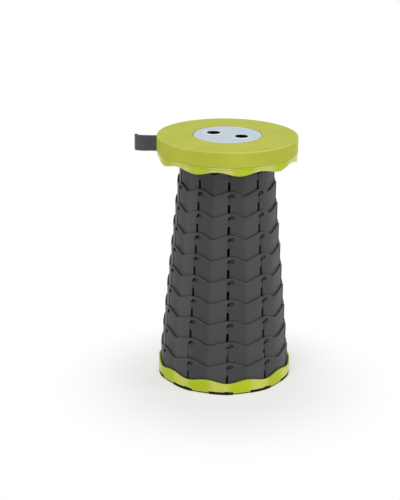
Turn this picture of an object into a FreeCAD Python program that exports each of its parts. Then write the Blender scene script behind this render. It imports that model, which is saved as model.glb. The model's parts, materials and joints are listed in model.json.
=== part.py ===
"""Collapsible telescopic stool, extended: ten nested sections between a foot ring and a round seat.

Millimetres, +Z up. The origin is the centre of the footprint on the floor. Angles go round the Z axis
from the front (-Y) towards +X.
"""
import FreeCAD, Part
import math
import os
from FreeCAD import Vector

# The stages
section_count = 10
panel_count = 10
top_section_radius = 85.6
radius_step = 3.6
section_wall = 2.8
flute_depth = 1.4
stage_rise = 38.6
stage_travel = 38.0
foot_gap = 0.7
section_height = 53.3
top_rim_trim = 1.5
seam_angle = 3.0
rim_wave = 10.3
valley_round_angle = 2.5
valley_round_rise = 0.75
crease_round_angle = 3.0
guide_bead = 0.5
guide_bead_height = 3.0

# The hooked slots and the lugs that lock in them
slot_width = 4.6
slot_end_margin = 0.3
hook_offset = 7.0
lug_offset = 7.5
lug_radius = 2.4
lug_drop = 8.9
lug_reach = 1.1
lug_chamfer = 0.4
pocket_radius = 3.5
pocket_drop = 8.0
channel_side_gap = 0.4
channel_floor_gap = 0.35
slot_web_inset = 0.95
slot_web_root = 0.6
slot_web_top_drop = 12.5
slot_web_foot_drop = 24.0

# The foot
pad_thickness = 1.0
plate_thickness = 1.8
plate_edge_thickness = 1.7
plate_edge_inset = 0.15
web_thickness = 1.6
foot_flange_thickness = 1.8
ring_radius = 123.0
ring_wall = 2.4
ring_flute = 2.0
ring_wave = 5.5
web_inner_radius = 102.0
flange_inner_radius = 104.0
plate_inner_radius = 100.0
recess_height = 2.5
pad_angle = -2.0
pad_half_angle = 10.3
recess_side_angle = 0.2
nib_half_angle = 1.9
nib_height = 1.2
tread_inner_radius = 112.5
tread_inset = 2.2
pad_clearance = 0.1
part_clearance = 0.2

# The screws that hold the lowest section
base_screw_circle = 108.5
base_screw_radius = 1.45
base_head_radius = 2.8
base_head_height = 1.0
base_boss_radius = 3.4
pilot_clearance = 0.15
pilot_floor = 0.4
screw_end_gap = 0.4
boss_clearance = 0.3

# The seat
seat_radius = 125.0
cover_top = 2.4
cover_wall = 2.6
cover_edge_round = 2.2
seat_wall_height = 27.0
nesting_gap = 0.5
skirt_groove = 0.5
skirt_depth = 15.1
skirt_top_inset = 0.6
skirt_taper = 0.2
skirt_wall = 2.0
skirt_flute = 1.6
skirt_wave = 6.2
skirt_lobe_angle = 10.5
skirt_bead_height = 2.6
skirt_bead_inset = 0.4
snap_ring_wall = 2.0
snap_ring_height = 5.5
closing_gap = 4.4

# The disc in the seat
disc_radius = 60.5
disc_gap = 0.4
disc_thickness = 3.3
disc_proud = 0.3
disc_edge_round = 0.8
disc_rim_wall = 3.3
disc_plate = 3.0
ledge_inner_radius = 44.0
finger_hole_radius = 11.3
finger_hole_spacing = 55.0
finger_line_angle = 64.0
finger_lip_width = 0.9
finger_lip_slope = 2.1
finger_lip_round = 0.4
dish_half_length = 46.5
dish_half_width = 26.0
dish_slope = 3.0
dish_depth = 1.2
disc_screw_circle = 51.0
disc_screw_count = 4
disc_boss_radius = 3.0
disc_screw_radius = 1.2
disc_screw_length = 4.4
disc_head_radius = 4.2
disc_head_height = 1.5
disc_head_clearance = 1.0

# The collar under the seat
collar_flange_inner_radius = 62.0
collar_flange_thickness = 2.8
rib_depth = 10.0
rib_thickness = 2.0
rib_inner_radius = 47.0
collar_screw_circle = 70.0
collar_screw_count = 5
collar_boss_radius = 4.5
collar_screw_radius = 1.7
collar_head_radius = 3.6
collar_head_height = 2.0
collar_screw_length = 9.5

# The carrying loop
strap_angle = -92.8
strap_width = 27.6
strap_thickness = 1.2
strap_length = 43.3
strap_below_top = 5.2
strap_fold_depth = 10.5
strap_samples = 60
strap_slot_width = 6.6
strap_slot_margin = 0.5
pin_radius = 1.1
pin_circle = 122.2
pin_socket_radius = 2.4
pin_socket_height = 3.4
pin_cover_depth = 0.8
pin_cover_socket = 1.7
pin_floor = 1.0
pin_end_gap = 0.2
loop_clearance = 0.25

# Heights and radii that follow
half_panel = 180.0 / panel_count
plate_bottom = pad_thickness
web_bottom = plate_bottom + plate_thickness
web_top = web_bottom + web_thickness
foot_flange_top = web_top + foot_flange_thickness
ring_bottom = plate_bottom + plate_edge_thickness
lowest_rim = foot_flange_top + foot_gap + section_height + stage_travel - stage_rise
TALL = 60.0


def rim_height(number):
    """Height of a section's rim at its wave's peak; number 1 is the top section."""
    return lowest_rim + stage_rise * (section_count - number)


def section_radius(number):
    return top_section_radius + radius_step * (number - 1)


seat_ceiling = rim_height(2) + 2.0 * stage_travel + nesting_gap
seat_top = seat_ceiling + cover_top
wall_bottom = seat_top - seat_wall_height
skirt_bottom = wall_bottom - skirt_depth
collapse = stage_travel * section_count
ring_valley = skirt_bottom - collapse - closing_gap
ring_peak = ring_valley + ring_wave
collar_radius = section_radius(0)
strap_top = seat_top - strap_below_top
strap_bottom = strap_top - strap_width
pin_bottom = strap_bottom - strap_slot_margin - pin_socket_height


def ring_point(radius, degrees, height=0.0):
    angle = math.radians(degrees)
    return Vector(radius * math.sin(angle), -radius * math.cos(angle), height)


def outward(degrees):
    return ring_point(1.0, degrees)


def sideways(degrees):
    angle = math.radians(degrees)
    return Vector(math.cos(angle), math.sin(angle), 0.0)


def seams(first=seam_angle, count=panel_count):
    return [first + 360.0 / count * turn for turn in range(count)]


def flute_drop(depth, degrees_from_seam):
    """How far a fluted wall lies inside its ridge circle at an angle from the seam, outside its creases."""
    return depth * abs(degrees_from_seam) / half_panel


def fluted_wire(ridge_radius, depth, height, phase=seam_angle):
    """Closed outline with a ridge at each seam and a rounded crease midway between two seams."""
    flank = half_panel - crease_round_angle
    flank_radius = ridge_radius - flute_drop(depth, flank)
    mid_radius = ridge_radius - flute_drop(depth, flank / 2.0)
    crease_radius = ridge_radius - flute_drop(depth, half_panel - crease_round_angle / 2.0)
    edges = []
    for seam in seams(phase):
        crease = seam + half_panel
        arcs = [
            [(ridge_radius, seam), (mid_radius, seam + flank / 2.0), (flank_radius, seam + flank)],
            [
                (flank_radius, seam + flank),
                (crease_radius, crease),
                (flank_radius, crease + crease_round_angle),
            ],
            [
                (flank_radius, crease + crease_round_angle),
                (mid_radius, crease + half_panel - flank / 2.0),
                (ridge_radius, crease + half_panel),
            ],
        ]
        for arc in arcs:
            start, middle, end = [ring_point(radius, degrees, height) for radius, degrees in arc]
            edges.append(Part.Arc(start, middle, end).toShape())
    return Part.Wire(edges)


def fluted_solid(ridge_radius, depth, bottom, top, phase=seam_angle):
    face = Part.Face(fluted_wire(ridge_radius, depth, bottom, phase))
    return face.extrude(Vector(0, 0, top - bottom))


def fluted_ring(outer, inner, depth, bottom, top, phase=seam_angle):
    body = fluted_solid(outer, depth, bottom, top, phase)
    return body.cut(fluted_solid(inner, depth, bottom - 1.0, top + 1.0, phase))


def disc(radius, bottom, top):
    return Part.makeCylinder(radius, top - bottom, Vector(0, 0, bottom))


def wedge(centre_angle, half_angle, bottom, top, reach=200.0):
    """A slice of a round cake, wide enough for every ring here."""
    corners = [
        Vector(0, 0, bottom),
        ring_point(reach, centre_angle - half_angle, bottom),
        ring_point(reach, centre_angle + half_angle, bottom),
        Vector(0, 0, bottom),
    ]
    return Part.Face(Part.makePolygon(corners)).extrude(Vector(0, 0, top - bottom))


def radial_block(runs, centre_angle, near, far):
    """Solid with one outline at every radius; each run is a line or curve of (degrees, height) points."""
    wires = []
    for distance in (near, far):
        edges = []
        for run in runs:
            points = []
            for degrees, height in run:
                across = distance * math.tan(math.radians(degrees))
                centre = outward(centre_angle) * distance + Vector(0, 0, height)
                points.append(centre + sideways(centre_angle) * across)
            if len(points) == 2:
                edges.append(Part.LineSegment(points[0], points[1]).toShape())
            else:
                curve = Part.BSplineCurve()
                first = points[1] - points[0]
                last = points[-1] - points[-2]
                curve.interpolate(Points=points, InitialTangent=first, FinalTangent=last)
                edges.append(curve.toShape())
        wires.append(Part.Wire(edges))
    return Part.makeLoft(wires, True, True)


def wave_run(low, high, peak_at_middle):
    """One period of an even wave, from one panel edge to the next."""
    run = []
    for step in range(9):
        degrees = half_panel * (step / 4.0 - 1.0)
        swing = 0.5 + 0.5 * math.cos(math.radians(degrees) * panel_count)
        share = swing if peak_at_middle else 1.0 - swing
        run.append((degrees, low + (high - low) * share))
    return run


def trim_wave(solid, run_list, angles, near, far, limit):
    """Cut away what lies between a wave that repeats at the angles and a height above or below it."""
    start = run_list[0][0]
    end = run_list[-1][-1]
    closing = [
        [end, (end[0], limit)],
        [(end[0], limit), (start[0], limit)],
        [(start[0], limit), start],
    ]
    return solid.cut([radial_block(run_list + closing, angle, near, far) for angle in angles])


def section_rim(peak):
    """Rim of a section over one panel: a straight rise, an arch over the hook and a slow fall."""
    valley = peak - rim_wave
    joint = valley + valley_round_rise
    half_round = valley_round_angle / 2.0
    left_round = [
        (-half_panel, valley),
        (-half_panel + half_round, valley + 0.25 * valley_round_rise),
        (-half_panel + valley_round_angle, joint),
    ]
    rise = [left_round[-1], (-2.0, peak - 0.10 * rim_wave)]
    arch = [
        rise[-1],
        (0.0, peak - 0.02 * rim_wave),
        (2.5, peak),
        (5.0, peak - 0.07 * rim_wave),
        (8.0, peak - 0.26 * rim_wave),
        (11.5, peak - 0.54 * rim_wave),
        (14.0, peak - 0.78 * rim_wave),
        (half_panel - valley_round_angle, joint),
        (half_panel - half_round, valley + 0.25 * valley_round_rise),
        (half_panel, valley),
    ]
    return [left_round, rise, arch]


def slot_tool(seam, radius, peak):
    """A slot with its hook: a long run down the wall and a pocket beside its top."""
    half = slot_width / 2.0
    low = peak - lug_drop - stage_travel - slot_end_margin
    near = radius - 3.0 * section_wall
    depth = 5.0 * section_wall

    def place(across, height):
        return outward(seam) * near + sideways(seam) * across + Vector(0, 0, height)

    def on_pocket(degrees):
        angle = math.radians(degrees)
        across = hook_offset + pocket_radius * math.cos(angle)
        return place(across, peak - pocket_drop + pocket_radius * math.sin(angle))

    hook_foot = place(half, peak - pocket_drop - 2.9)
    hook_shoulder = place(-half, peak - pocket_drop - 2.4)
    edges = [
        Part.Arc(place(-half, low), place(0.0, low - half), place(half, low)).toShape(),
        Part.LineSegment(place(half, low), hook_foot).toShape(),
        Part.LineSegment(hook_foot, on_pocket(210.0)).toShape(),
        Part.Arc(on_pocket(210.0), on_pocket(-25.0), on_pocket(100.0)).toShape(),
        Part.Arc(on_pocket(100.0), place(0.4, peak - pocket_drop + 1.7), hook_shoulder).toShape(),
        Part.LineSegment(hook_shoulder, place(-half, low)).toShape(),
    ]
    return Part.Face(Part.Wire(edges)).extrude(outward(seam) * depth)


def lug_angle(host_radius):
    """How far a lug lies beside the seam, so that it sits in its host's pocket."""
    return math.degrees(math.asin(lug_offset / host_radius))


def lug_tip_radius(host_radius):
    return host_radius - section_wall - flute_drop(flute_depth, lug_angle(host_radius)) + lug_reach


def lugs(radius, peak):
    """The ten round lugs of a ring, which stand in the pockets of the section outside it."""
    host = radius + radius_step
    height = peak - stage_rise - lug_drop
    root = radius - flute_drop(flute_depth, lug_angle(host)) - section_wall / 2.0
    length = lug_tip_radius(host) - root - lug_chamfer
    pieces = []
    for seam in seams():
        direction = outward(seam + lug_angle(host))
        start = direction * root + Vector(0, 0, height)
        stem = Part.makeCylinder(lug_radius, length, start, direction)
        tip = Part.makeCone(
            lug_radius, lug_radius - lug_chamfer, lug_chamfer, start + direction * length, direction
        )
        pieces.append(stem.fuse(tip))
    return pieces


def lug_channels(radius, peak):
    """Blind channels inside a section, below the pockets, in which the inner ring's lugs slide down."""
    top = peak - pocket_drop
    bottom = peak - lug_drop - stage_travel - lug_radius - channel_side_gap
    half = lug_radius + channel_side_gap
    floor = lug_tip_radius(radius) + channel_floor_gap
    start = radius - 2.0 * section_wall
    tools = []
    for seam in seams():
        angle = seam + lug_angle(radius)
        tool = Part.makeBox(2.0 * half, floor - start, top - bottom, Vector(-half, start, bottom))
        tool.rotate(Vector(0, 0, 0), Vector(0, 0, 1), angle + 180.0)
        tools.append(tool)
    return tools


def slot_webs(radius, peak):
    """Thin sunk webs that bridge the slots below the hooks and keep their sides from spreading."""
    near = lug_tip_radius(radius) + channel_floor_gap
    far = radius - slot_web_inset
    width = slot_width + 2.0 * slot_web_root
    foot = peak - slot_web_foot_drop
    return [upright_box(seam, near, far, width, foot, peak - slot_web_top_drop) for seam in seams()]


def make_section(number):
    """One section: a fluted tube with a wavy rim, hooked slots, lugs and a guide bead at its foot."""
    radius = section_radius(number)
    peak = rim_height(number)
    bottom = peak - section_height
    if number == section_count:
        bottom = web_top
    rim = peak - top_rim_trim if number == 1 else peak
    tube = fluted_ring(radius, radius - section_wall, flute_depth, bottom, rim + 1.0)
    near = (radius - section_wall) * math.cos(math.radians(half_panel)) - 5.0
    tube = trim_wave(tube, section_rim(rim), seams(), near, radius + 5.0, rim + 20.0)
    tube = tube.cut([slot_tool(seam, radius, peak) for seam in seams()] + lug_channels(radius, peak))
    tube = tube.fuse(slot_webs(radius, peak))
    if number == section_count:
        return add_foot_flange(tube, radius)
    bead = fluted_ring(
        radius + guide_bead, radius - section_wall / 2.0, flute_depth, bottom, bottom + guide_bead_height
    )
    return tube.fuse([bead] + lugs(radius, peak))


def base_screw_places():
    return seams(pad_angle + half_panel)


def add_foot_flange(tube, radius):
    """The lowest section stands on an inward flange, and its ten bosses reach down through the web."""
    flange = fluted_solid(radius - section_wall / 2.0, flute_depth, web_top, foot_flange_top)
    flange = flange.cut(disc(flange_inner_radius, web_top - 1.0, foot_flange_top + 1.0))
    bosses = []
    pilots = []
    for angle in base_screw_places():
        place = ring_point(base_screw_circle, angle, web_bottom)
        bosses.append(Part.makeCylinder(base_boss_radius, web_thickness + 0.5, place))
        pilots.append(Part.makeCylinder(base_screw_radius + pilot_clearance, pilot_depth(), place))
    return tube.fuse([flange] + bosses).cut(pilots)


def pilot_depth():
    return web_thickness + foot_flange_thickness - pilot_floor


def make_base_ring():
    """Foot ring: fluted wall with a wavy top, recesses for the pads, and a web under the lowest section."""
    wall = fluted_ring(ring_radius, ring_radius - ring_wall, ring_flute, ring_bottom, ring_peak + 1.0)
    near = (ring_radius - ring_wall) * math.cos(math.radians(half_panel)) - 5.0
    wave = wave_run(ring_valley, ring_peak, False)
    wall = trim_wave(wall, [wave], seams(), near, ring_radius + 5.0, ring_peak + 20.0)
    recess_half = pad_half_angle + recess_side_angle
    tools = [wedge(a, recess_half, 0.0, ring_bottom + recess_height) for a in seams(pad_angle)]
    nib_top = ring_bottom + recess_height + nib_height
    tools += [wedge(a, nib_half_angle + recess_side_angle, 0.0, nib_top) for a in seams()]
    wall = wall.cut(tools)
    web = fluted_solid(ring_radius - ring_wall / 2.0, ring_flute, web_bottom, web_top)
    web = web.cut(disc(web_inner_radius, web_bottom - 1.0, web_top + 1.0))
    lip_tools = [wedge(a, recess_half, 0.0, ring_bottom + recess_height) for a in seams(pad_angle)]
    inner_wall = ring_radius - ring_wall
    rim_band = fluted_ring(ring_radius + 1.0, inner_wall, ring_flute, web_bottom - 1.0, web_top + 1.0)
    web = web.cut([tool.common(rim_band) for tool in lip_tools])
    holes = []
    for angle in base_screw_places():
        place = ring_point(base_screw_circle, angle, web_bottom - 1.0)
        holes.append(Part.makeCylinder(base_boss_radius + boss_clearance, web_thickness + 2.0, place))
    return wall.fuse(web).cut(holes)


def make_base_plate():
    """Black ring that clamps the lowest section; its thin edge shows between the pads."""
    inner_wall = ring_radius - ring_wall
    plate = fluted_solid(inner_wall - part_clearance, ring_flute, plate_bottom, web_bottom)
    edge = fluted_ring(
        ring_radius - plate_edge_inset, inner_wall - 2.0, ring_flute, plate_bottom, ring_bottom
    )
    recess_half = pad_half_angle + recess_side_angle
    slots = [wedge(a, recess_half, 0.0, ring_bottom + 1.0) for a in seams(pad_angle)]
    plate = plate.fuse(edge.cut(slots)).cut(disc(plate_inner_radius, 0.0, web_top))
    tools = []
    for angle in base_screw_places():
        place = ring_point(base_screw_circle, angle, plate_bottom)
        tools.append(Part.makeCylinder(base_screw_radius + pilot_clearance, plate_thickness + 1.0, place))
        tools.append(Part.makeCylinder(base_head_radius + part_clearance, base_head_height, place))
    return plate.cut(tools)


def make_foot_tread():
    """Rubber tread: a flat ring under the plate with ten pads that fill the recesses of the foot ring."""
    outer = ring_radius - pad_clearance
    lip_inner = ring_radius - ring_wall + pad_clearance
    lip_top = ring_bottom + recess_height - pad_clearance
    sole = fluted_solid(outer, ring_flute, 0.0, pad_thickness)
    lip = fluted_ring(outer, lip_inner, ring_flute, 0.0, lip_top)
    nib = fluted_ring(outer, lip_inner, ring_flute, 0.0, lip_top + nib_height)
    tread = fluted_solid(ring_radius - ring_wall - tread_inset, ring_flute, 0.0, pad_thickness)
    pieces = []
    for angle, seam in zip(seams(pad_angle), seams()):
        slice_tool = wedge(angle, pad_half_angle, 0.0, TALL)
        nib_tool = wedge(seam, nib_half_angle, 0.0, TALL)
        pieces += [sole.common(slice_tool), lip.common(slice_tool), nib.common(nib_tool)]
    tread = tread.fuse(pieces).cut(disc(tread_inner_radius, -1.0, pad_thickness + 1.0))
    return tread.removeSplitter()


def screw(place, head_radius, head_height, shank_radius, shank_length):
    """Screw that points up, with a cross recess in its head; place is where the head seats."""
    head = Part.makeCylinder(head_radius, head_height, place - Vector(0, 0, head_height))
    shank = Part.makeCylinder(shank_radius, shank_length, place)
    recess_depth = head_height * 0.6
    long_side = head_radius * 1.2
    short_side = head_radius * 0.3
    corner = place - Vector(0, 0, head_height)
    tools = []
    for across, along in ((long_side, short_side), (short_side, long_side)):
        start = corner - Vector(across / 2.0, along / 2.0, 0.0)
        tools.append(Part.makeBox(across, along, recess_depth, start))
    return head.fuse(shank).cut(tools)


def make_base_screws():
    seat_height = plate_bottom + base_head_height
    length = web_bottom - seat_height + pilot_depth() - screw_end_gap
    screws = []
    for angle in base_screw_places():
        place = ring_point(base_screw_circle, angle, seat_height)
        screws.append(screw(place, base_head_radius, base_head_height, base_screw_radius, length))
    return Part.makeCompound(screws)


def revolve(points, rounded=None):
    """Turn (radius, height) points about Z; rounded gives the radius of a corner by its index."""
    rounded = rounded or {}
    places = [Vector(radius, 0, height) for radius, height in points]
    edges = []
    ends = []
    for index, corner in enumerate(places):
        before = places[index - 1]
        after = places[(index + 1) % len(places)]
        radius = rounded.get(index, 0.0)
        if radius:
            start = corner + (before - corner).normalize() * radius
            end = corner + (after - corner).normalize() * radius
            bulge = radius * (math.sqrt(2.0) - 1.0)
            middle = corner + ((start + end) * 0.5 - corner).normalize() * bulge
            edges.append(Part.Arc(start, middle, end).toShape())
            ends.append((start, end))
        else:
            ends.append((corner, corner))
    for index in range(len(places)):
        start = ends[index][1]
        end = ends[(index + 1) % len(places)][0]
        edges.append(Part.LineSegment(start, end).toShape())
    wire = Part.Wire(Part.__sortEdges__(edges))
    return Part.Face(wire).revolve(Vector(0, 0, 0), Vector(0, 0, 1), 360.0)


def upright_box(centre_angle, near, far, width, bottom, top):
    """Box that lies along a radius."""
    box = Part.makeBox(width, far - near, top - bottom, Vector(-width / 2.0, near, bottom))
    box.rotate(Vector(0, 0, 0), Vector(0, 0, 1), centre_angle + 180.0)
    return box


def finger_places(height):
    half = finger_hole_spacing / 2.0
    return [ring_point(half, finger_line_angle + turn, height) for turn in (0.0, 180.0)]


def disc_screw_places():
    return seams(finger_line_angle + 45.0, disc_screw_count)


def collar_screw_places():
    return seams(seam_angle, collar_screw_count)


def strap_slot(bottom, top):
    return upright_box(strap_angle, pin_circle - 5.0, seat_radius + 5.0, strap_slot_width, bottom, top)


disc_floor = seat_top + disc_proud - disc_thickness
plate_floor = disc_floor - disc_plate
rib_bottom = seat_ceiling - rib_depth


def make_seat_cover():
    """Seat: flat top, smooth wall, a sunk floor for the disc, and ribs and bosses inside the collar."""
    recess_radius = disc_radius + disc_gap
    rim_radius = recess_radius + disc_rim_wall
    inner_wall = seat_radius - cover_wall
    outline = [
        (ledge_inner_radius, plate_floor),
        (rim_radius, plate_floor),
        (rim_radius, seat_ceiling),
        (inner_wall, seat_ceiling),
        (inner_wall, wall_bottom),
        (seat_radius, wall_bottom),
        (seat_radius, seat_top),
        (recess_radius, seat_top),
        (recess_radius, disc_floor),
        (ledge_inner_radius, disc_floor),
    ]
    cover = revolve(outline, {6: cover_edge_round})
    rib_end = collar_radius - section_wall - flute_depth - part_clearance
    extras = []
    rib_top = seat_ceiling + 1.0
    for angle in seams(seam_angle + half_panel):
        extras.append(upright_box(angle, rib_inner_radius, rib_end, rib_thickness, rib_bottom, rib_top))
    for angle in collar_screw_places():
        place = ring_point(collar_screw_circle, angle, rib_bottom)
        extras.append(Part.makeCylinder(collar_boss_radius, rib_depth + 1.0, place))
    socket_bottom = seat_ceiling - pin_cover_socket
    socket_place = ring_point(pin_circle, strap_angle, socket_bottom)
    extras.append(Part.makeCylinder(pin_socket_radius, pin_cover_socket + 1.0, socket_place))
    cover = cover.fuse(extras)
    tools = [
        strap_slot(wall_bottom - 1.0, strap_top + strap_slot_margin),
        disc(recess_radius, disc_floor, seat_top + 1.0),
    ]
    for angle in disc_screw_places():
        place = ring_point(disc_screw_circle, angle, plate_floor - 1.0)
        tools.append(Part.makeCylinder(disc_boss_radius + boss_clearance, disc_plate + 2.0, place))
        under = ring_point(disc_screw_circle, angle, rib_bottom - 1.0)
        head_clear = disc_head_radius + disc_head_clearance
        tools.append(Part.makeCylinder(head_clear, plate_floor - rib_bottom + 1.0, under))
    for angle in collar_screw_places():
        place = ring_point(collar_screw_circle, angle, rib_bottom - 1.0)
        pilot = collar_screw_radius + pilot_clearance
        tools.append(Part.makeCylinder(pilot, 1.0 + collar_screw_length + screw_end_gap, place))
    pin_hole = ring_point(pin_circle, strap_angle, socket_bottom - 1.0)
    pin_hole_depth = 1.0 + pin_cover_socket + pin_cover_depth
    tools.append(Part.makeCylinder(pin_radius + pilot_clearance, pin_hole_depth, pin_hole))
    return cover.cut(tools)


def make_centre_disc():
    """Disc with an oval dish, two finger holes with raised lips, and four screw bosses."""
    top = seat_top + disc_proud
    outline = [(0.0, disc_floor), (disc_radius, disc_floor), (disc_radius, top), (0.0, top)]
    body = revolve(outline, {2: disc_edge_round})
    rims = []
    for height, shrink in ((top + 0.5, -dish_slope * 0.5 / dish_depth), (top - dish_depth, dish_slope)):
        ellipse = Part.Ellipse(Vector(0, 0, height), dish_half_length - shrink, dish_half_width - shrink)
        rims.append(Part.Wire([ellipse.toShape()]))
    dish = Part.makeLoft(rims, True, True)
    dish.rotate(Vector(0, 0, 0), Vector(0, 0, 1), finger_line_angle - 90.0)
    body = body.cut(dish)
    extras = []
    dish_floor = top - dish_depth
    crest = finger_hole_radius + finger_lip_width
    for place in finger_places(dish_floor - 1.0):
        slope = finger_lip_slope / dish_depth
        extras.append(Part.makeCone(crest + finger_lip_slope + slope, crest, dish_depth + 1.0, place))
    for angle in disc_screw_places():
        place = ring_point(disc_screw_circle, angle, plate_floor + part_clearance)
        extras.append(Part.makeCylinder(disc_boss_radius, disc_plate, place))
    body = body.fuse(extras)
    tools = []
    for place in finger_places(disc_floor - 1.0):
        tools.append(Part.makeCylinder(finger_hole_radius, disc_thickness + 2.0, place))
    for angle in disc_screw_places():
        place = ring_point(disc_screw_circle, angle, plate_floor)
        pilot = disc_screw_radius + pilot_clearance
        tools.append(Part.makeCylinder(pilot, disc_screw_length + screw_end_gap, place))
    body = body.cut(tools)
    lips = []
    for edge in body.Edges:
        is_circle = isinstance(edge.Curve, Part.Circle)
        if is_circle and abs(edge.Curve.Center.z - top) < 0.01:
            if min(abs(edge.Curve.Radius - finger_hole_radius), abs(edge.Curve.Radius - crest)) < 0.01:
                lips.append(edge)
    return body.makeFillet(finger_lip_round, lips)


def make_disc_screws():
    screws = []
    for angle in disc_screw_places():
        place = ring_point(disc_screw_circle, angle, plate_floor)
        screws.append(
            screw(place, disc_head_radius, disc_head_height, disc_screw_radius, disc_screw_length)
        )
    return Part.makeCompound(screws)


def make_seat_collar():
    """Ring that hangs in the top section by its lugs; its flange lies under the ribs of the seat."""
    peak = rim_height(0)
    bottom = peak - section_height
    inner = collar_radius - section_wall
    tube = fluted_ring(collar_radius, inner, flute_depth, bottom, seat_ceiling)
    flange_top = rib_bottom
    flange = fluted_solid(inner + 1.0, flute_depth, flange_top - collar_flange_thickness, flange_top)
    flange = flange.cut(disc(collar_flange_inner_radius, bottom, flange_top + 1.0))
    bead = fluted_ring(
        collar_radius + guide_bead, inner + 1.0, flute_depth, bottom, bottom + guide_bead_height
    )
    body = tube.fuse([flange, bead] + lugs(collar_radius, peak))
    tools = []
    for angle in collar_screw_places():
        place = ring_point(collar_screw_circle, angle, flange_top - collar_flange_thickness - 1.0)
        hole = collar_screw_radius + pilot_clearance
        tools.append(Part.makeCylinder(hole, collar_flange_thickness + 2.0, place))
    return body.cut(tools)


def make_collar_screws():
    screws = []
    for angle in collar_screw_places():
        place = ring_point(collar_screw_circle, angle, rib_bottom - collar_flange_thickness)
        length = collar_flange_thickness + collar_screw_length
        screws.append(screw(place, collar_head_radius, collar_head_height, collar_screw_radius, length))
    return Part.makeCompound(screws)


def skirt_shell(inset, bottom, top):
    """Fluted cone of the skirt, drawn in by an inset; it tapers towards its lobes."""
    wires = []
    for height in (bottom, top):
        share = (wall_bottom - skirt_groove - height) / (skirt_depth - skirt_groove)
        radius = seat_radius - skirt_top_inset - skirt_taper * share - inset
        wires.append(fluted_wire(radius, skirt_flute, height, skirt_lobe_angle))
    return Part.makeLoft(wires, True, True)


def make_seat_skirt():
    """Scalloped ring below the seat: ten lobes, a bead on top and a ring that snaps inside the wall."""
    top = wall_bottom - skirt_groove
    low = skirt_bottom - 1.0
    shell = skirt_shell(0.0, low, top).cut(skirt_shell(skirt_wall, low - 1.0, top + 1.0))
    snap_outer = seat_radius - cover_wall - part_clearance
    snap = disc(snap_outer, top - 2.0, top + snap_ring_height)
    snap = snap.cut(disc(snap_outer - snap_ring_wall, top - 3.0, top + snap_ring_height + 1.0))
    bead = disc(seat_radius - skirt_bead_inset, top - skirt_bead_height, top)
    bead = bead.cut(disc(snap_outer - snap_ring_wall, top - skirt_bead_height - 1.0, top + 1.0))
    near = (seat_radius - skirt_taper) * math.cos(math.radians(half_panel)) - 12.0
    wave = wave_run(skirt_bottom, skirt_bottom + skirt_wave, False)
    shell = shell.fuse([snap, bead])
    floor = low - 20.0
    far = seat_radius + 5.0
    shell = trim_wave(shell, [wave], seams(skirt_lobe_angle), near, far, floor)
    socket_top = strap_bottom - strap_slot_margin
    socket_place = ring_point(pin_circle, strap_angle, socket_top - pin_socket_height)
    socket = Part.makeCylinder(pin_socket_radius, pin_socket_height, socket_place)
    socket = socket.cut(disc(seat_radius, 0.0, seat_top).cut(disc(pin_circle, -1.0, seat_top + 1.0)))
    shell = shell.fuse(socket)
    slot = strap_slot(socket_top, wall_bottom + 20.0)
    hole_place = ring_point(pin_circle, strap_angle, pin_bottom + pin_floor)
    hole = Part.makeCylinder(pin_radius + pilot_clearance, TALL, hole_place)
    return shell.cut([slot, hole])


def make_strap_pin():
    foot = pin_bottom + pin_floor
    length = seat_ceiling + pin_cover_depth - pin_end_gap - foot
    return Part.makeCylinder(pin_radius, length, ring_point(pin_circle, strap_angle, foot))


def strap_point(out, front):
    """Point of the strap's lower edge, out from the pin and towards the front."""
    centre = outward(strap_angle) * (pin_circle + out)
    return centre + sideways(strap_angle) * front + Vector(0, 0, strap_bottom)


def make_strap():
    """Closed loop of webbing on edge: round the pin, out of the slot, and folded over at its far end."""
    inside = pin_radius + loop_clearance + strap_thickness / 2.0
    slant = inside * math.sqrt(0.5)
    fold = strap_fold_depth
    middle = [
        (-inside, 0.0),
        (-slant, slant),
        (0.0, inside),
        (4.0, 2.1),
        (9.0, 2.3),
        (18.0, 2.6),
        (30.0, 1.6),
        (strap_length - 2.0, 0.2),
        (strap_length - 0.6, -0.35 * fold),
        (strap_length - 2.4, -0.85 * fold),
        (strap_length - 6.5, -0.80 * fold),
        (strap_length - 10.0, -0.38 * fold),
        (26.0, -1.2),
        (14.0, -1.3),
        (6.0, -1.7),
        (3.0, -1.9),
        (0.0, -inside),
        (-slant, -slant),
    ]
    line = Part.BSplineCurve()
    line.interpolate(Points=[strap_point(out, front) for out, front in middle], PeriodicFlag=True)
    first = line.FirstParameter
    last = line.LastParameter
    sides = []
    for reach in (strap_thickness / 2.0, -strap_thickness / 2.0):
        points = []
        for step in range(strap_samples):
            where = first + (last - first) * step / strap_samples
            normal = line.tangent(where)[0].cross(Vector(0, 0, 1))
            points.append(line.value(where) + normal * reach)
        side = Part.BSplineCurve()
        side.interpolate(Points=points, PeriodicFlag=True)
        sides.append(Part.Face(Part.Wire([side.toShape()])).extrude(Vector(0, 0, strap_width)))
    sides.sort(key=lambda side: -side.Volume)
    return sides[0].cut(sides[1])


def build():
    nodes = {
        "base_ring": make_base_ring(),
        "base_plate": make_base_plate(),
        "base_screws": make_base_screws(),
        "foot_tread": make_foot_tread(),
        "seat_cover": make_seat_cover(),
        "seat_skirt": make_seat_skirt(),
        "centre_disc": make_centre_disc(),
        "disc_screws": make_disc_screws(),
        "seat_collar": make_seat_collar(),
        "collar_screws": make_collar_screws(),
        "strap": make_strap(),
        "strap_pin": make_strap_pin(),
    }
    for number in range(1, section_count + 1):
        nodes["section_%02d" % number] = make_section(number)
    return nodes


os.makedirs("parts", exist_ok=True)
for name, shape in build().items():
    solids = shape.Solids
    box = shape.BoundBox
    print(
        name, len(solids), shape.isValid(), round(shape.Volume / 1000.0, 2),
        [round(value, 2) for value in (box.XMin, box.YMin, box.ZMin, box.XMax, box.YMax, box.ZMax)],
    )
    shape.exportStep("parts/" + name + ".step")
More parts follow.
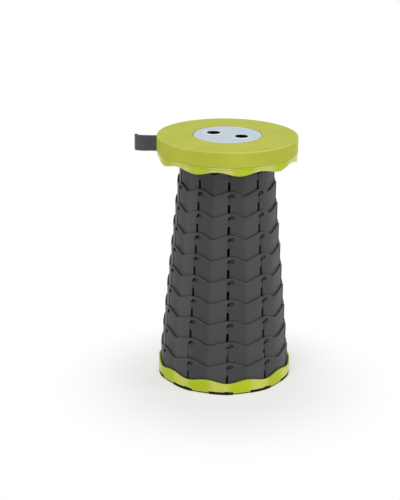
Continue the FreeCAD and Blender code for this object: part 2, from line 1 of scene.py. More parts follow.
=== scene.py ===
"""Looks of a collapsible telescopic stool: moulded plastics, rubber, webbing, floor and light.

Metres, +Z up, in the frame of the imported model. Angles are in degrees and go round the Z axis from the
front (-Y) towards +X.
"""
import json
import math

import bpy
from mathutils import Matrix, Vector
from mathutils.bvhtree import BVHTree


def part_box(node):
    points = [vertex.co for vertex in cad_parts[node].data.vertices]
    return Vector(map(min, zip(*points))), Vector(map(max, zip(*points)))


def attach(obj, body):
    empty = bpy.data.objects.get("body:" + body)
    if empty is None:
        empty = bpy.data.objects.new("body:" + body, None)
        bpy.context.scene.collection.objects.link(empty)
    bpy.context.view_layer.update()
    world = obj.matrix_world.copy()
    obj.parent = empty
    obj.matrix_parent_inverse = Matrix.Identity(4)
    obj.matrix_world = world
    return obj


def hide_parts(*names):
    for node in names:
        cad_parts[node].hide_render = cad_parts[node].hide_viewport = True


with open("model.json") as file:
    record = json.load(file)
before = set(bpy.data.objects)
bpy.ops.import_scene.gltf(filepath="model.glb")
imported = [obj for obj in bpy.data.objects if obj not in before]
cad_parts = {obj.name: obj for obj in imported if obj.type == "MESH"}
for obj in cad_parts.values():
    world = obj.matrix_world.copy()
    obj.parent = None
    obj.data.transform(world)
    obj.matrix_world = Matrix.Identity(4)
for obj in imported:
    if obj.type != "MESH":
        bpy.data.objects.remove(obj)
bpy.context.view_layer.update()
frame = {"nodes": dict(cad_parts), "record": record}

MM = 0.001
full_turn = 2.0 * math.pi

# The stool's own pattern: ten panels, with a seam at each slot and a crease midway between two seams
section_count = 10
panel_count = 10
seam_angle = 3.0
skirt_lobe_angle = 10.5
# The foot ring's panels, on which a paler stretch of light is painted, are counted from a little past each
# seam
ring_lit_stretch_angle = seam_angle + 5.0
top_section_radius = 85.6 * MM
radius_step = 3.6 * MM
section_wall = 2.8 * MM

# The joint round the disc, along which a shadow line is painted, and the disc's two finger holes, which are
# painted black up to a narrow rim on their lips, for the shade inside them
disc_recess_radius = 60.9 * MM
disc_seam_width = 0.5 * MM
disc_seam_shade = "#2E3010"
finger_hole_radius = 11.3 * MM
finger_hole_spacing = 55.0 * MM
finger_line_angle = 64.0
finger_hole_rim = 0.8 * MM
finger_hole_shade_black = "#0C0C0D"
painted_line_blur = 0.3 * MM

# Moulded skin: the noise levels between which it goes from darker to lighter, and from smoother to rougher
cloud_size = 45.0 * MM
cloud_levels = (0.3, 0.7)
cloud_tones = (0.96, 1.04)
skin_levels = (0.2, 0.8)
skin_strength = 0.5
smoother_by = 0.04
rougher_by = 0.05

# Edges: a paler colour is painted on sharp edges, partly as wear and partly as highlight, by the cosine of
# the angle between the rounded surface and the flat one, and a highlight is painted on rounded upper edges,
# by how level the surface lies
edge_samples = 6
wear_and_highlight_cosines = (0.995, 0.80)
highlight_level_starts = (0.10, 0.45)
highlight_level_ends = (0.80, 0.99)

# The rolled lip of a section's rim is a bead just inside the outer edge of its wall
lip_radius = 0.75 * MM
lip_inset = 0.45 * MM
lip_drop = 0.60 * MM
lip_sides = 10
rim_points = 360
look_down_at = 0.75 * section_wall
look_down_from = 10.0 * MM
look_in_from = 5.0 * MM
look_in_below = 0.5 * MM

# The webbing loop: a sheet with ribs across it and rounded selvedges
webbing_width = 27.6 * MM
webbing_thickness = 1.2 * MM
webbing_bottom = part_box("strap")[0].z
rib_pitch = 1.15 * MM
rib_relief = 0.07 * MM
selvedge_share = 0.35
loop_points = 300
width_rows = 28
back_face_shift = 40.0 * MM

# Its weave, and its yarn's fibres. Real fibres are about 0.02 mm thick, too fine to show here, so they are
# drawn coarser.
yarn_along = 0.9 * MM
yarn_across = 1.3 * MM
yarn_depth = 0.12 * MM
yarn_levels = (-0.8, 0.8)
yarn_strength = 0.6
fibre_size = 0.35 * MM
fuzz_share = 0.3

# Its way round the pin, in mm: steps out from the pin and towards the front. It comes out of the seat's slot
# and rolls over at its far end, away from the front.
strap_angle = -92.8
pin_circle = 122.2
strap_reach = 43.3
strap_inside = 1.95
strap_slant = strap_inside * math.sqrt(0.5)
strap_route = [
    (-strap_inside, 0.0),
    (-strap_slant, strap_slant),
    (0.0, strap_inside),
    (4.0, 2.0),
    (9.0, 1.9),
    (14.0, 1.8),
    (20.0, 2.8),
    (26.0, 3.6),
    (32.0, 3.0),
    (strap_reach - 6.5, 1.6),
    (strap_reach - 2.4, -0.8),
    (strap_reach - 0.6, -4.6),
    (strap_reach - 0.8, -9.0),
    (strap_reach - 3.0, -10.0),
    (strap_reach - 4.8, -7.0),
    (strap_reach - 7.0, -3.2),
    (strap_reach - 12.0, -1.4),
    (24.0, -1.2),
    (14.0, -1.3),
    (6.0, -1.7),
    (3.0, -1.9),
    (0.0, -strap_inside),
    (-strap_slant, -strap_slant),
]
span_steps = 20

# Bar tack on the two legs of the loop, just outside the seat's wall: two rows of stitches on each leg
leg_fronts = ((1.0, 1.9), (-1.0, -1.3))
tack_rows = (14.0, 17.2)
thread_stand = 0.62
stitch_belly = 0.12
stitch_length = 2.6 * MM
stitch_gap = 0.7 * MM
tack_foot = 2.5 * MM
tack_top = 2.0 * MM
thread_radius = 0.22 * MM
thread_sides = 6

# The wave's scale that gives the thread a twist about every 0.4 mm
thread_twist = 1.0 / (0.6 * MM)

# Zinc plating: the size of its spangle, and the roughness that the spangle goes between
spangle_size = 0.8 * MM
spangle_roughness = (0.26, 0.40)
screw_edge_radius = 0.2 * MM

# Camera, from the outline of the seat, the rims and the foot in the photograph
picture_height = 500
camera_distance = 2.3388
camera_aim_height = 0.225
camera_elevation = 19.214
camera_yaw = 1.207
camera_pitch = 0.145
camera_roll = 0.545
focal_in_pixels = 1285.6
sensor_size = 36.0

# The floor glows white to the eye, a glow that grows away from a point a little in front of the foot, so
# near the foot the shadow is partly real and partly painted, and reaches further in front
floor_half = 30.0
floor_grey = "#EFEFF0"
studio_white = "#FFFFFF"
foot_radius = 123.0 * MM
foot_shade_width = 8.0 * MM
shadow_middle = (0.0, -70.0 * MM, 0.0)
shadow_start = 90.0 * MM
shadow_reach = 325.0 * MM
shadow_white = 0.38

# Light: an even pale studio, a large lamp high at the front left and a smaller one lower at the right
studio_light = 0.55
lamp_aim = Vector((0.0, 0.0, 0.25))


def ring_point(radius, degrees, height=0.0):
    angle = math.radians(degrees)
    return Vector((radius * math.sin(angle), -radius * math.cos(angle), height))


def linear(hex_colour):
    """sRGB hex to the linear colour that the shaders take."""
    parts = []
    for start in (1, 3, 5):
        value = int(hex_colour[start:start + 2], 16) / 255.0
        parts.append(value / 12.92 if value <= 0.04045 else ((value + 0.055) / 1.055) ** 2.4)
    return (*parts, 1.0)


def add(tree, kind, inputs=(), **settings):
    """Add a node. The inputs are for its first sockets in order, or map a socket's name or number.

    Each input is a value, or the node or socket that feeds it.
    """
    node = tree.nodes.new(kind)
    for name, value in settings.items():
        setattr(node, name, value)
    pairs = inputs.items() if isinstance(inputs, dict) else enumerate(inputs)
    for key, value in pairs:
        if isinstance(value, bpy.types.Node):
            value = value.outputs[0]
        if isinstance(value, bpy.types.NodeSocket):
            tree.links.new(value, node.inputs[key])
        else:
            node.inputs[key].default_value = value
    return node


def new_material(name):
    material = bpy.data.materials.new(name)
    material.use_nodes = True
    tree = material.node_tree
    tree.nodes.clear()
    shader = add(tree, "ShaderNodeBsdfPrincipled")
    add(tree, "ShaderNodeOutputMaterial", [shader])
    return material, tree, shader


def panel_share(tree, where, start_angle):
    """0 to 1 across each panel, counted round the axis from a start angle."""
    split = add(tree, "ShaderNodeSeparateXYZ", [where])
    toward = add(tree, "ShaderNodeMath", [split.outputs[1], -1.0], operation="MULTIPLY")
    turn = add(tree, "ShaderNodeMath", [split.outputs[0], toward], operation="ARCTAN2")
    panels = add(tree, "ShaderNodeMath", [turn, panel_count / full_turn], operation="MULTIPLY")
    start = start_angle * panel_count / 360.0 - panel_count
    counted = add(tree, "ShaderNodeMath", [panels, start], operation="SUBTRACT")
    return add(tree, "ShaderNodeMath", [counted], operation="FRACT")


def painted_light_stretch(tree, where, start_angle, rise, fall):
    """1 on the stretch of each panel where a lighter colour is painted as the light on it; rise and fall are
    (from, to) shares of the panel.
    """
    share = panel_share(tree, where, start_angle)
    rising = add(tree, "ShaderNodeMapRange", [share, *rise], interpolation_type="SMOOTHSTEP")
    falling = add(tree, "ShaderNodeMapRange", [share, *fall, 1.0, 0.0], interpolation_type="SMOOTHSTEP")
    return add(tree, "ShaderNodeMath", [rising, falling], operation="MULTIPLY")


def edge_wear_and_highlight(tree, radius):
    """Rounded normal at sharp edges, and a mask that is 1 on them, where wear and a highlight are painted.
    """
    rounded = add(tree, "ShaderNodeBevel", {"Radius": radius}, samples=edge_samples)
    flat = add(tree, "ShaderNodeNewGeometry").outputs["Normal"]
    likeness = add(tree, "ShaderNodeVectorMath", [rounded, flat], operation="DOT_PRODUCT").outputs["Value"]
    wear_and_highlight = add(tree, "ShaderNodeMapRange", [likeness, *wear_and_highlight_cosines], interpolation_type="SMOOTHSTEP")
    return rounded, wear_and_highlight


def painted_upper_edge_highlight(tree):
    """1 on a part's rounded upper edges, on whose upward slopes a highlight is painted."""
    normal = add(tree, "ShaderNodeNewGeometry").outputs["Normal"]
    level = add(tree, "ShaderNodeSeparateXYZ", [normal]).outputs[2]
    starts = add(tree, "ShaderNodeMapRange", [level, *highlight_level_starts], interpolation_type="SMOOTHSTEP")
    ends = add(tree, "ShaderNodeMapRange", [level, *highlight_level_ends, 1.0, 0.0], interpolation_type="SMOOTHSTEP")
    return add(tree, "ShaderNodeMath", [starts, ends], operation="MULTIPLY")


def painted_finger_hole_shade(tree, where):
    """1 on the walls of the disc's finger holes and on the inner rim of their lips, where the shade inside
    the holes is painted black.
    """
    flat = add(tree, "ShaderNodeVectorMath", [where, (1.0, 1.0, 0.0)], operation="MULTIPLY")
    distances = []
    for turn in (0.0, 180.0):
        centre = ring_point(finger_hole_spacing / 2.0, finger_line_angle + turn)
        away = add(tree, "ShaderNodeVectorMath", [flat, tuple(centre)], operation="DISTANCE")
        distances.append(away.outputs["Value"])
    nearest = add(tree, "ShaderNodeMath", distances, operation="MINIMUM")
    black_radius = finger_hole_radius + finger_hole_rim
    levels = (black_radius, black_radius + painted_line_blur, 1.0, 0.0)
    return add(tree, "ShaderNodeMapRange", [nearest, *levels], interpolation_type="SMOOTHSTEP")


def painted_disc_seam_shadow(tree, where):
    """1 along the joint between the seat and its disc, where the shadow of the gap is painted."""
    flat = add(tree, "ShaderNodeVectorMath", [where, (1.0, 1.0, 0.0)], operation="MULTIPLY")
    out = add(tree, "ShaderNodeVectorMath", [flat], operation="LENGTH").outputs["Value"]
    past = add(tree, "ShaderNodeMath", [out, disc_recess_radius], operation="SUBTRACT")
    off = add(tree, "ShaderNodeMath", [past], operation="ABSOLUTE")
    levels = (disc_seam_width, disc_seam_width + painted_line_blur, 1.0, 0.0)
    return add(tree, "ShaderNodeMapRange", [off, *levels], interpolation_type="SMOOTHSTEP")


def moulded_plastic(name, colour, painted_light_colour, finish, skin, edges, panels=None, marks=()):
    """Injection-moulded plastic: a fine skin, faint cloudiness and a paler colour painted on its edges,
    partly as wear and partly as highlight.

    finish is (roughness, specular level), skin is (grain size, depth), edges is (radius, lift) of the paler
    colour painted on the edges, panels gives the start angle and the stretch of each panel where a lighter
    colour is painted as the light on it, where the part has panels, and marks are functions that give a
    mask, each with the colour that it paints. The real skin's grain is under 0.1 mm, too fine to show here,
    so it is drawn coarser.
    """
    material, tree, shader = new_material(name)
    where = add(tree, "ShaderNodeTexCoord").outputs["Object"]
    roughness, specular = finish
    grain_size, grain_depth = skin
    edge_radius, edge_lift = edges
    tone = linear(colour)[:3]
    # Panels: a lighter colour is painted as light on one stretch of each
    if panels:
        lit_mix = {0: painted_light_stretch(tree, where, *panels), 6: linear(colour), 7: linear(painted_light_colour)}
        tone = add(tree, "ShaderNodeMix", lit_mix, data_type="RGBA").outputs[2]
    cloud = add(tree, "ShaderNodeTexNoise", {"Vector": where, "Scale": 1.0 / cloud_size, "Detail": 3.0})
    shade = add(
        tree, "ShaderNodeMapRange", [cloud, *cloud_levels, *cloud_tones], interpolation_type="SMOOTHSTEP"
    )
    seen = add(tree, "ShaderNodeVectorMath", {0: tone, "Scale": shade}, operation="SCALE")
    # Paler colour painted on the edges: wear and highlight on sharp edges, highlight on rounded upper edges
    rounded, wear_and_highlight = edge_wear_and_highlight(tree, edge_radius)
    bright = add(tree, "ShaderNodeMath", [wear_and_highlight, painted_upper_edge_highlight(tree)], operation="MAXIMUM")
    lifted = add(tree, "ShaderNodeMath", [bright, edge_lift], operation="MULTIPLY")
    coats = [(lifted, painted_light_colour)] + [(mask(tree, where), coat_colour) for mask, coat_colour in marks]
    for mask, coat_colour in coats:
        coat = {0: mask, 6: seen, 7: linear(coat_colour)}
        seen = add(tree, "ShaderNodeMix", coat, data_type="RGBA").outputs[2]
    tree.links.new(seen, shader.inputs["Base Color"])
    grain = add(
        tree, "ShaderNodeTexNoise",
        {"Vector": where, "Scale": 1.0 / grain_size, "Detail": 2.0, "Roughness": 0.6},
    )
    rough_levels = (*skin_levels, roughness - smoother_by, roughness + rougher_by)
    rough = add(tree, "ShaderNodeMapRange", [grain, *rough_levels], interpolation_type="SMOOTHSTEP")
    tree.links.new(rough.outputs[0], shader.inputs["Roughness"])
    relief = add(
        tree, "ShaderNodeBump",
        {"Height": grain, "Strength": skin_strength, "Distance": grain_depth, "Normal": rounded},
    )
    tree.links.new(relief.outputs[0], shader.inputs["Normal"])
    shader.inputs["IOR"].default_value = 1.5
    shader.inputs["Specular IOR Level"].default_value = specular
    return material


def make_materials():
    made = {}
    # ABS seat: fine satin skin that hardly mirrors, with the faint ripple of a large flat moulding, a paler
    # colour painted on its edges and a shadow line painted round the disc
    made["green_plastic"] = moulded_plastic(
        "satin_abs_green", "#BCC246", "#E4E79C",
        finish=(0.42, 0.03), skin=(1.6 * MM, 0.02 * MM), edges=(0.6 * MM, 0.30),
        marks=[(painted_disc_seam_shadow, disc_seam_shade)],
    )
    # ABS skirt: the same green, brighter and glossier, with a pale sheen painted on one stretch of each lobe
    made["bright_green_plastic"] = moulded_plastic(
        "gloss_abs_green", "#BBCA34", "#D6D774",
        finish=(0.28, 0.14), skin=(2.2 * MM, 0.01 * MM), edges=(0.5 * MM, 0.3),
        panels=(skirt_lobe_angle, (0.22, 0.46), (0.72, 0.96)),
    )
    # ABS foot ring: as the skirt, with a pale sheen painted before each seam
    made["ring_green_plastic"] = moulded_plastic(
        "gloss_abs_foot_green", "#BACC2A", "#D4D763",
        finish=(0.32, 0.12), skin=(2.2 * MM, 0.01 * MM), edges=(0.5 * MM, 0.3),
        panels=(ring_lit_stretch_angle, (0.34, 0.58), (0.82, 1.0)),
    )
    # Glass-filled nylon sections: matt, spark-eroded skin, one half of each panel painted a little lighter
    # as the half that the light falls on
    made["dark_plastic"] = moulded_plastic(
        "matt_nylon_charcoal", "#404042", "#4A4A4C",
        finish=(0.50, 0.28), skin=(0.9 * MM, 0.03 * MM), edges=(0.5 * MM, 0.5),
        panels=(seam_angle, (0.42, 0.58), (0.99, 1.0)),
    )
    # The sections' rolled lips: the same nylon, painted a shade paler for the light on their upper face
    made["lip_plastic"] = moulded_plastic(
        "nylon_charcoal_lit_lip", "#4D4D4F", "#5A5A5C",
        finish=(0.45, 0.28), skin=(0.9 * MM, 0.03 * MM), edges=(0.5 * MM, 0.4),
    )
    # Polypropylene clamp ring: black and dull
    made["black_plastic"] = moulded_plastic(
        "dull_polypropylene_black", "#0C0C0D", "#1C1C1E",
        finish=(0.55, 0.25), skin=(0.9 * MM, 0.03 * MM), edges=(0.3 * MM, 0.4),
    )
    # Polypropylene disc: cool pale grey, smooth satin, with near-white highlight painted on its edges and
    # lips and black shade painted in its finger holes
    made["disc_plastic"] = moulded_plastic(
        "satin_polypropylene_grey", "#BFCED7", "#FAFCFD",
        finish=(0.38, 0.30), skin=(1.4 * MM, 0.01 * MM), edges=(0.5 * MM, 0.9),
        marks=[(painted_finger_hole_shade, finger_hole_shade_black)],
    )
    # Thermoplastic rubber: black, dry and soft-edged
    made["rubber"] = moulded_plastic(
        "soft_rubber_black", "#08080A", "#1A1A1B",
        finish=(0.75, 0.25), skin=(0.6 * MM, 0.05 * MM), edges=(0.4 * MM, 0.4),
    )
    made["screw_steel"] = zinc_plated_steel()
    made["webbing"] = woven_webbing()
    made["thread"] = sewing_thread()
    return made


def zinc_plated_steel():
    """Zinc-plated steel: bright grey metal with a faint spangle."""
    material, tree, shader = new_material("zinc_plated_steel")
    where = add(tree, "ShaderNodeTexCoord").outputs["Object"]
    spangle = add(tree, "ShaderNodeTexNoise", {"Vector": where, "Scale": 1.0 / spangle_size})
    levels = (*skin_levels, *spangle_roughness)
    rough = add(tree, "ShaderNodeMapRange", [spangle, *levels], interpolation_type="SMOOTHSTEP")
    tree.links.new(rough.outputs[0], shader.inputs["Roughness"])
    rounded = add(tree, "ShaderNodeBevel", {"Radius": screw_edge_radius}, samples=edge_samples)
    tree.links.new(rounded.outputs[0], shader.inputs["Normal"])
    shader.inputs["Base Color"].default_value = linear("#C4C6C9")
    shader.inputs["Metallic"].default_value = 1.0
    return material


def woven_webbing():
    """Polyester webbing: dull charcoal yarn with a fine broken twill, with shade painted between the yarn
    crowns and a lighter colour on them, fuzzy at grazing angles.
    """
    material, tree, shader = new_material("polyester_webbing_charcoal")
    where = add(tree, "ShaderNodeUVMap", uv_map="weave").outputs[0]
    split = add(tree, "ShaderNodeSeparateXYZ", [where])
    along = add(tree, "ShaderNodeMath", [split.outputs[0], full_turn / yarn_along], operation="MULTIPLY")
    across = add(tree, "ShaderNodeMath", [split.outputs[1], full_turn / yarn_across], operation="MULTIPLY")
    slants = []
    for slant in ("ADD", "SUBTRACT"):
        phase = add(tree, "ShaderNodeMath", [along, across], operation=slant)
        slants.append(add(tree, "ShaderNodeMath", [phase], operation="SINE"))
    yarn = add(tree, "ShaderNodeMath", slants, operation="MULTIPLY")
    place = add(tree, "ShaderNodeTexCoord").outputs["Object"]
    fibre = add(tree, "ShaderNodeTexNoise", {"Vector": place, "Scale": 1.0 / fibre_size, "Detail": 3.0})
    crown = add(tree, "ShaderNodeMapRange", [yarn, *yarn_levels], interpolation_type="SMOOTHSTEP")
    fuzz = add(tree, "ShaderNodeMath", [fibre, fuzz_share], operation="MULTIPLY")
    # Shade painted between the yarn crowns, a lighter colour on them
    yarn_colours = {0: crown, 6: linear("#35363A"), 7: linear("#515257")}
    shaded_weave = add(tree, "ShaderNodeMix", yarn_colours, data_type="RGBA").outputs[2]
    fuzzy = add(tree, "ShaderNodeMix", {0: fuzz, 6: shaded_weave, 7: linear("#64656A")}, data_type="RGBA")
    tree.links.new(fuzzy.outputs[2], shader.inputs["Base Color"])
    height = add(tree, "ShaderNodeMath", [yarn, fibre], operation="ADD")
    relief = add(
        tree, "ShaderNodeBump", {"Height": height, "Strength": yarn_strength, "Distance": yarn_depth}
    )
    tree.links.new(relief.outputs[0], shader.inputs["Normal"])
    shader.inputs["Roughness"].default_value = 0.85
    shader.inputs["Sheen Weight"].default_value = 0.35
    shader.inputs["Sheen Roughness"].default_value = 0.5
    return material


def sewing_thread():
    """Bonded nylon thread: charcoal, a little shinier than the webbing, twisted, with shade painted in bands
    between its plies.
    """
    material, tree, shader = new_material("bonded_nylon_thread")
    where = add(tree, "ShaderNodeTexCoord").outputs["Object"]
    waves = {"Vector": where, "Scale": thread_twist, "Distortion": 1.0}
    twist = add(tree, "ShaderNodeTexWave", waves, bands_direction="DIAGONAL").outputs[1]
    # Shade painted in bands between the plies
    ply_colours = {0: twist, 6: linear("#2E2F31"), 7: linear("#55565A")}
    plies = add(tree, "ShaderNodeMix", ply_colours, data_type="RGBA")
    tree.links.new(plies.outputs[2], shader.inputs["Base Color"])
    shader.inputs["Roughness"].default_value = 0.5
    return material


def dress_nodes(made):
    """Give each node of the frame the material of its slot, and the foot ring a green of its own."""
    for entry in frame["record"]["subparts"]:
        name = entry["node"]
        material = made["ring_green_plastic" if name == "base_ring" else entry["material_slot"]]
        for slot in frame["nodes"][name].material_slots:
            slot.material = material


def mesh_piece(name, points, faces, material, smooth=True):
    mesh = bpy.data.meshes.new(name)
    mesh.from_pydata([tuple(point) for point in points], [], faces)
    mesh.materials.append(material)
    for polygon in mesh.polygons:
        polygon.use_smooth = smooth
    piece = bpy.data.objects.new(name, mesh)
    bpy.context.scene.collection.objects.link(piece)
    return piece


def rod_tree(name, material):
    """Geometry Nodes tree that lays a round rod along each line of a mesh, in one material."""
    tree = bpy.data.node_groups.new(name, "GeometryNodeTree")
    tree.interface.new_socket("Geometry", in_out="INPUT", socket_type="NodeSocketGeometry")
    tree.interface.new_socket("Rod radius", in_out="INPUT", socket_type="NodeSocketFloat")
    tree.interface.new_socket("Rod sides", in_out="INPUT", socket_type="NodeSocketInt")
    tree.interface.new_socket("Geometry", in_out="OUTPUT", socket_type="NodeSocketGeometry")
    given = add(tree, "NodeGroupInput")
    path = add(tree, "GeometryNodeMeshToCurve", {"Mesh": given.outputs["Geometry"]})
    profile = add(
        tree, "GeometryNodeCurvePrimitiveCircle",
        {"Resolution": given.outputs["Rod sides"], "Radius": given.outputs["Rod radius"]},
    )
    swept = {"Curve": path, "Profile Curve": profile, "Fill Caps": True}
    rod = add(tree, "GeometryNodeCurveToMesh", swept)
    smooth = add(tree, "GeometryNodeSetShadeSmooth", {"Geometry": rod})
    real = add(tree, "GeometryNodeRealizeInstances", [smooth])
    dressed = add(tree, "GeometryNodeSetMaterial", {0: real, "Material": material})
    add(tree, "NodeGroupOutput", [dressed])
    return tree


def rods(name, lines, tree, radius, sides):
    """Run a rod tree on (points, closed) lines and keep its result as a plain mesh."""
    points = []
    edges = []
    for line, closed in lines:
        start = len(points)
        points += [tuple(point) for point in line]
        edges += [(start + step, start + step + 1) for step in range(len(line) - 1)]
        if closed:
            edges.append((start + len(line) - 1, start))
    bare = bpy.data.meshes.new(name + "_lines")
    bare.from_pydata(points, edges, [])
    source = bpy.data.objects.new(name + "_lines", bare)
    bpy.context.scene.collection.objects.link(source)
    modifier = source.modifiers.new("rods", "NODES")
    modifier.node_group = tree
    sizes = {"Rod radius": radius, "Rod sides": sides}
    for item in tree.interface.items_tree:
        if item.name in sizes:
            modifier[item.identifier] = sizes[item.name]
    bpy.context.view_layer.update()
    evaluated = source.evaluated_get(bpy.context.evaluated_depsgraph_get())
    mesh = bpy.data.meshes.new_from_object(evaluated)
    source.modifiers.clear()
    bpy.data.objects.remove(source)
    mesh.name = name
    piece = bpy.data.objects.new(name, mesh)
    bpy.context.scene.collection.objects.link(piece)
    return piece


def rim_line(number):
    """Line just inside the outer edge of a section's wavy rim, found by looking down and inwards at it."""
    node = "section_%02d" % number
    tree = BVHTree.FromObject(frame["nodes"][node], bpy.context.evaluated_depsgraph_get())
    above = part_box(node)[1].z + look_down_from
    outer = top_section_radius + radius_step * (number - 1)
    in_wall = outer - look_down_at
    points = []
    for step in range(rim_points):
        degrees = (step + 0.5) * 360.0 / rim_points
        direction = ring_point(1.0, degrees)
        top = tree.ray_cast(ring_point(in_wall, degrees, above), Vector((0.0, 0.0, -1.0)))[0]
        outside = ring_point(outer + look_in_from, degrees, top.z - look_in_below)
        side = tree.ray_cast(outside, -direction)[0]
        radius = math.hypot(side.x, side.y)
        points.append(ring_point(radius - lip_inset, degrees, top.z - lip_drop))
    return points


def make_rim_lips(made):
    """The rolled lip that each section's rim carries."""
    tree = rod_tree("rolled_lip", made["lip_plastic"])
    for number in range(1, section_count + 1):
        piece = rods("rim_lip_%02d" % number, [(rim_line(number), True)], tree, lip_radius, lip_sides)
        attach(piece, "base" if number == section_count else "section_%02d" % number)


def closed_curve(corners, count):
    """Evenly spaced points along a smooth closed curve through the corners, and its length."""
    dense = []
    for index in range(len(corners)):
        before, start, end, after = (corners[(index + shift) % len(corners)] for shift in (-1, 0, 1, 2))
        for step in range(span_steps):
            share = step / span_steps
            dense.append(
                0.5 * (
                    2.0 * start + (end - before) * share
                    + (2.0 * before - 5.0 * start + 4.0 * end - after) * share ** 2
                    + (3.0 * start - before - 3.0 * end + after) * share ** 3
                )
            )
    lengths = [0.0]
    for index in range(len(dense)):
        lengths.append(lengths[-1] + (dense[(index + 1) % len(dense)] - dense[index]).length)
    total = lengths[-1]
    points = []
    span = 0
    for step in range(count):
        wanted = total * step / count
        while lengths[span + 1] < wanted:
            span += 1
        share = (wanted - lengths[span]) / (lengths[span + 1] - lengths[span])
        points.append(dense[span].lerp(dense[(span + 1) % len(dense)], share))
    return points, total


def strap_place(out, front):
    """Point on the floor plan of the loop, from steps in mm out from the pin and towards the front."""
    angle = math.radians(strap_angle)
    sideways = Vector((math.cos(angle), math.sin(angle), 0.0))
    return ring_point((pin_circle + out) * MM, strap_angle) + sideways * front * MM


def make_webbing(made):
    """Woven loop round the pin, with real ribs across its faces and rounded selvedges."""
    line, total = closed_curve([strap_place(out, front) for out, front in strap_route], loop_points)
    half = webbing_thickness / 2.0
    section = [(1.0, row) for row in range(width_rows + 1)]
    section += [(-1.0, row) for row in range(width_rows, -1, -1)]
    points = []
    uvs = []
    for index, place in enumerate(line):
        ahead = line[(index + 1) % loop_points] - line[index - 1]
        normal = ahead.normalized().cross(Vector((0.0, 0.0, 1.0)))
        distance = total * index / loop_points
        for side, row in section:
            height = row / width_rows * webbing_width
            edge = min(height, webbing_width - height)
            roll = math.sqrt(max(0.0, 1.0 - max(0.0, 1.0 - edge / half) ** 2))
            phase = full_turn * distance / rib_pitch + (0.0 if row % 2 else math.pi)
            rib = rib_relief * math.sin(phase) * roll
            stand = half * (selvedge_share + (1.0 - selvedge_share) * roll) - rib_relief + rib
            points.append(place + normal * side * stand + Vector((0.0, 0.0, webbing_bottom + height)))
            uvs.append((distance, height + (0.0 if side > 0.0 else back_face_shift)))
    width = len(section)
    faces = []
    for index in range(loop_points):
        here = index * width
        after = (index + 1) % loop_points * width
        for column in range(width):
            beside = (column + 1) % width
            faces.append((here + column, after + column, after + beside, here + beside))
    piece = mesh_piece("webbing_loop", points, faces, made["webbing"])
    layer = piece.data.uv_layers.new(name="weave")
    last_row = (loop_points - 1) * width
    for polygon in piece.data.polygons:
        for loop in polygon.loop_indices:
            vertex = piece.data.loops[loop].vertex_index
            along, across = uvs[vertex]
            if polygon.index >= last_row and vertex < width:
                along += total
            layer.data[loop].uv = (along, across)
    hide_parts("strap")
    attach(piece, "seat")
    make_stitches(made)


def make_stitches(made):
    """Bar tack on the legs of the loop, one short rounded rod for each stitch."""
    lines = []
    for side, leg_front in leg_fronts:
        front = leg_front + side * thread_stand
        for out in tack_rows:
            end = strap_place(out, front)
            belly = strap_place(out, front + side * stitch_belly)
            height = webbing_bottom + tack_foot
            while height + stitch_length < webbing_bottom + webbing_width - tack_top:
                stitch = []
                for place, share in ((end, 0.0), (belly, 0.3), (belly, 0.7), (end, 1.0)):
                    stitch.append(place + Vector((0.0, 0.0, height + stitch_length * share)))
                lines.append((stitch, False))
                height += stitch_length + stitch_gap
    tree = rod_tree("stitches", made["thread"])
    piece = rods("webbing_stitches", lines, tree, thread_radius, thread_sides)
    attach(piece, "seat")
    return piece


def seen_by_eye(tree):
    """1 for rays from the camera, in reflections and through clear parts."""
    path = add(tree, "ShaderNodeLightPath").outputs
    seen = add(tree, "ShaderNodeMath", [path["Is Camera Ray"], path["Is Glossy Ray"]], operation="MAXIMUM")
    return add(tree, "ShaderNodeMath", [seen, path["Is Transmission Ray"]], operation="MAXIMUM")


def make_floor():
    """Pale floor that is white to the eye away from the stool; near it its soft shadow is partly real and
    partly painted by a weaker glow.
    """
    material = bpy.data.materials.new("pale_floor")
    material.use_nodes = True
    tree = material.node_tree
    tree.nodes.clear()
    matt = add(tree, "ShaderNodeBsdfDiffuse", {"Color": linear(floor_grey)})
    white = add(tree, "ShaderNodeEmission", {"Color": linear(studio_white), "Strength": 1.0})
    where = add(tree, "ShaderNodeTexCoord").outputs["Object"]
    from_foot = add(tree, "ShaderNodeVectorMath", [where], operation="LENGTH").outputs["Value"]
    foot_levels = (foot_radius - foot_shade_width, foot_radius, 0.0, shadow_white)
    outside = add(tree, "ShaderNodeMapRange", [from_foot, *foot_levels], interpolation_type="SMOOTHSTEP")
    away = add(tree, "ShaderNodeVectorMath", [where, shadow_middle], operation="DISTANCE").outputs["Value"]
    shadow_levels = (shadow_start, shadow_reach, 0.0, 1.0 - shadow_white)
    whiter = add(tree, "ShaderNodeMapRange", [away, *shadow_levels], interpolation_type="SMOOTHSTEP")
    share = add(tree, "ShaderNodeMath", [outside, whiter], operation="ADD")
    seen = add(tree, "ShaderNodeMath", [seen_by_eye(tree), share], operation="MULTIPLY")
    both = add(tree, "ShaderNodeMixShader", [seen, matt, white])
    add(tree, "ShaderNodeOutputMaterial", [both])
    corners = [(x * floor_half, y * floor_half, 0.0) for x, y in ((-1, -1), (1, -1), (1, 1), (-1, 1))]
    mesh_piece("floor", corners, [(0, 1, 2, 3)], material, smooth=False)


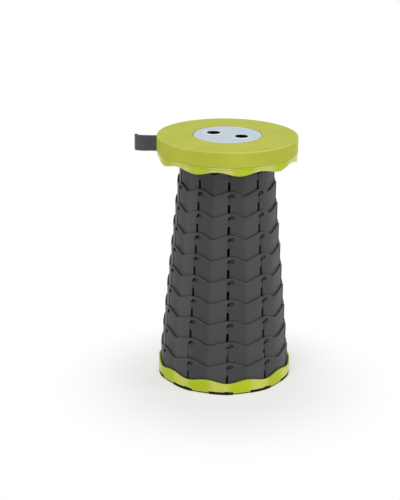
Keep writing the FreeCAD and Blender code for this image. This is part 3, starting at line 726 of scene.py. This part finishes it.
def make_world():
    """Even pale studio that lights softly and is white to the eye."""
    world = bpy.data.worlds.new("studio")
    bpy.context.scene.world = world
    world.use_nodes = True
    tree = world.node_tree
    tree.nodes.clear()
    light = add(tree, "ShaderNodeBackground", {"Color": linear(studio_white), "Strength": studio_light})
    white = add(tree, "ShaderNodeBackground", {"Color": linear(studio_white), "Strength": 1.0})
    both = add(tree, "ShaderNodeMixShader", [seen_by_eye(tree), light, white])
    add(tree, "ShaderNodeOutputWorld", [both])


def make_lamp(name, place, size, power):
    """Round area lamp that looks at the middle of the stool."""
    lamp = bpy.data.lights.new(name, "AREA")
    lamp.shape = "DISK"
    lamp.size = size
    lamp.energy = power
    holder = bpy.data.objects.new(name, lamp)
    bpy.context.scene.collection.objects.link(holder)
    holder.location = place
    holder.rotation_euler = (lamp_aim - Vector(place)).to_track_quat("-Z", "Y").to_euler()


def make_camera():
    """Camera at the photograph's viewing angle."""
    elevation, yaw, pitch, roll = (
        math.radians(angle) for angle in (camera_elevation, camera_yaw, camera_pitch, camera_roll)
    )
    away = Vector((0.0, -math.cos(elevation), math.sin(elevation)))
    place = away * camera_distance + Vector((0.0, 0.0, camera_aim_height))
    level = Matrix.Rotation(yaw, 3, "Z") @ -away
    level_right = level.cross(Vector((0.0, 0.0, 1.0))).normalized()
    level_up = level_right.cross(level)
    forward = math.cos(pitch) * level + math.sin(pitch) * level_up
    pitched_up = math.cos(pitch) * level_up - math.sin(pitch) * level
    right = math.cos(roll) * level_right + math.sin(roll) * pitched_up
    up = math.cos(roll) * pitched_up - math.sin(roll) * level_right
    camera = bpy.data.cameras.new("camera")
    camera.sensor_width = sensor_size
    camera.lens = focal_in_pixels * sensor_size / picture_height
    holder = bpy.data.objects.new("camera", camera)
    bpy.context.scene.collection.objects.link(holder)
    turn = Matrix((right, up, -forward)).transposed()
    holder.matrix_world = Matrix.Translation(place) @ turn.to_4x4()
    bpy.context.scene.camera = holder


made = make_materials()
make_camera()
dress_nodes(made)
make_rim_lips(made)
make_webbing(made)
make_floor()
make_world()
make_lamp("key", (-0.9, -1.8, 3.2), size=1.6, power=45.0)
make_lamp("right_fill", (2.2, -0.6, 1.2), size=1.2, power=13.0)
bpy.context.scene.view_settings.view_transform = "Standard"
